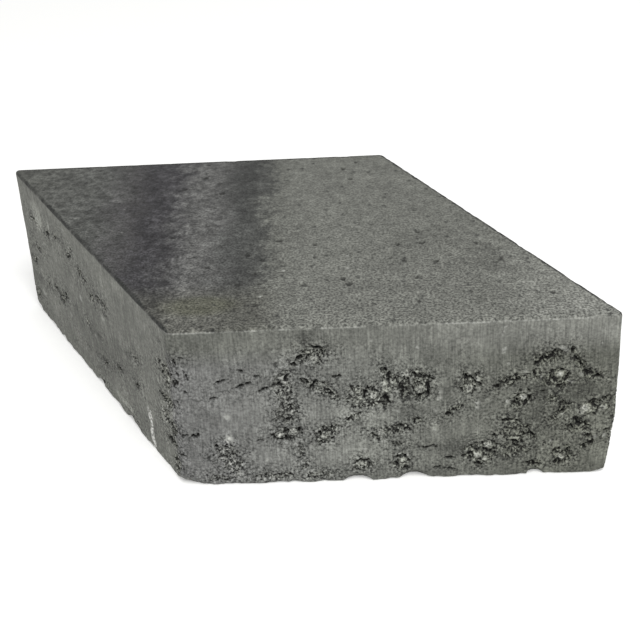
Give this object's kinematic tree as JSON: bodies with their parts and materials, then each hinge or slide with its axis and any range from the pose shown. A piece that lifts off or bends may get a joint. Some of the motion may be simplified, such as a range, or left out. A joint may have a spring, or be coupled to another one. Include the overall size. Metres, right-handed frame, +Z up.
{
  "type": "concrete paving stone",
  "caption": "Rhombus-plan pressed concrete paving stone with a fine flat walking face, honeycombed sides and a worn, chipped bed edge, laid flat against like stones to make a path.",
  "frame": {"origin": "centre of the bed face, at the middle of the stone's bounding box", "axes": "+Z up out of the walking face, +X along the front and back sides, +Y from the front side to the back side"},
  "size_m": [0.2078, 0.1212, 0.06],
  "materials": {
    "concrete": "matte"
  },
  "bodies": {
    "root": {"paving_stone": "concrete"}
  },
  "joints": []
}
